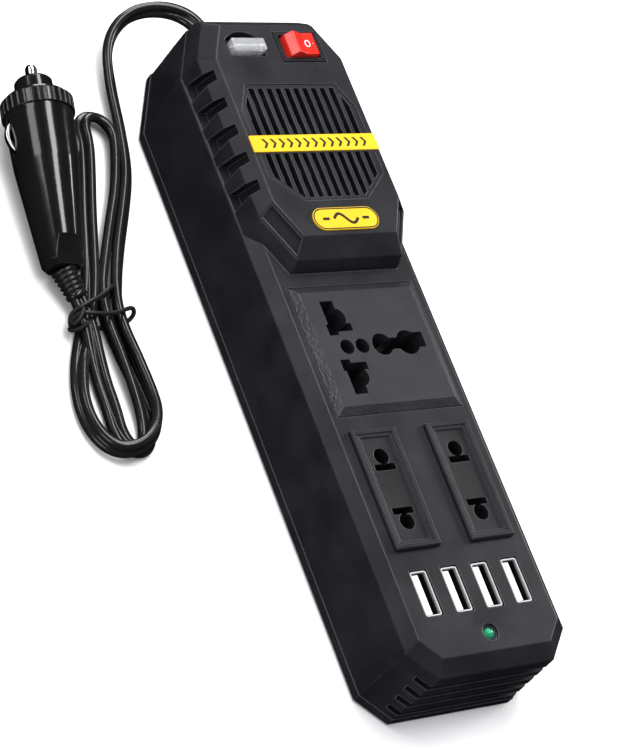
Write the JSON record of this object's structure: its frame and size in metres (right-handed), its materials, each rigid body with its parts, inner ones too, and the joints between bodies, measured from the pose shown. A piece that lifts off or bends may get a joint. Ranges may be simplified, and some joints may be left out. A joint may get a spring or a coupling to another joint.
{
  "type": "power inverter",
  "caption": "Slim hand-held power inverter with mains and USB outlets, fan, rocker switch, blade fuse and a corded 12 V lighter plug.",
  "frame": {"origin": "middle of the back face, which the case lies on", "axes": "+Z out of the socket face, +Y towards the end with the fan, switch and cord, +X to the right"},
  "size_m": [0.1069, 0.2205, 0.0398],
  "materials": {
    "case_plastic": "fine satin texture",
    "socket_plastic": "fine spark texture",
    "grille_plastic": "fine satin texture",
    "screw_steel": "black zinc",
    "label_yellow": "printed film",
    "switch_plastic": "satin",
    "rocker_red": "glossy, slightly translucent",
    "tin_metal": "tinned",
    "fuse_clear": "clear plastic",
    "contact_metal": "sprung brass",
    "usb_nickel": "nickel plate",
    "usb_white": "satin",
    "board_green": "solder mask",
    "led_green": "tinted lens",
    "ferrite": "sintered",
    "winding_tape": "polyester tape",
    "capacitor_sleeve": "shrink sleeve",
    "heat_sink_aluminium": "extruded",
    "epoxy_black": "moulded epoxy",
    "toroid_copper": "enamelled wire",
    "fan_plastic": "satin",
    "wire_red": "insulation",
    "cord_pvc": "semi-gloss",
    "tie_wire": "coated wire",
    "plug_gloss": "glossy",
    "plug_nickel": "nickel plate",
    "spring_steel": "bright wire"
  },
  "bodies": {
    "case": {"front_shell": "case_plastic", "rear_cover": "case_plastic", "housing_screws": "screw_steel", "fan_grille": "grille_plastic", "name_bar": "label_yellow", "rating_badge": "label_yellow", "switch_body": "switch_plastic", "switch_terminals": "contact_metal", "fuse_holder": "switch_plastic", "universal_socket_plate": "socket_plastic", "contact_neutral": "contact_metal", "contact_live": "contact_metal", "contact_earth": "contact_metal", "two_pin_socket_left": "socket_plastic", "two_pin_socket_right": "socket_plastic", "two_pin_contacts_left": "contact_metal", "two_pin_contacts_right": "contact_metal", "usb_board": "board_green", "power_led": "led_green", "led_leads": "tin_metal", "main_board": "board_green", "transformer_core": "ferrite", "transformer_winding": "winding_tape", "capacitors": "capacitor_sleeve", "heat_sink": "heat_sink_aluminium", "power_transistors": "epoxy_black", "toroid_inductor": "toroid_copper", "fan_frame": "fan_plastic", "input_wires": "wire_red", "output_wires": "wire_red", "cord_grommet": "cord_pvc", "cord_lead": "cord_pvc", "cord_hank": "cord_pvc", "cord_tie": "tie_wire", "plug_body": "plug_gloss", "plug_ring": "plug_gloss", "plug_cap": "plug_gloss", "plug_spring": "spring_steel", "plug_fuse": "fuse_clear", "plug_strain_relief": "cord_pvc", "usb_shell_1": "usb_nickel", "usb_tongue_1": "usb_white", "usb_shell_2": "usb_nickel", "usb_tongue_2": "usb_white", "usb_shell_3": "usb_nickel", "usb_tongue_3": "usb_white", "usb_shell_4": "usb_nickel", "usb_tongue_4": "usb_white"},
    "rocker": {"switch_rocker": "rocker_red"},
    "fuse": {"fuse_body": "fuse_clear", "fuse_blades": "tin_metal"},
    "rotor": {"fan_rotor": "fan_plastic"},
    "tip": {"plug_tip": "plug_nickel"},
    "contact_left": {"plug_contact_left": "spring_steel"},
    "contact_right": {"plug_contact_right": "spring_steel"}
  },
  "joints": [
    {"name": "rocker_tilt", "type": "hinge", "parent": "case", "child": "rocker", "pos_m": [0.0084, 0.0854, 0.034], "axis": [0, -1, 0], "range_deg": [0, 20]},
    {"name": "fuse_pull", "type": "slide", "parent": "case", "child": "fuse", "axis": [0, 0, 1], "range_m": [0, 0.012]},
    {"name": "fan_spin", "type": "hinge", "parent": "case", "child": "rotor", "pos_m": [0, 0.054, 0.0285], "axis": [0, 0, 1], "continuous": true},
    {"name": "plug_tip_press", "type": "slide", "parent": "case", "child": "tip", "axis": [-0.1372, -0.9861, -0.0936], "range_m": [0, 0.003], "stiffness_N_per_m": 300, "springref_m": -0.004},
    {"name": "contact_left_press", "type": "slide", "parent": "case", "child": "contact_left", "axis": [0.9905, -0.1378, 0], "range_m": [0, 0.0015], "stiffness_N_per_m": 400, "springref_m": -0.001},
    {"name": "contact_right_press", "type": "slide", "parent": "case", "child": "contact_right", "axis": [-0.9905, 0.1378, 0], "range_m": [0, 0.0015], "stiffness_N_per_m": 400, "springref_m": -0.001}
  ]
}
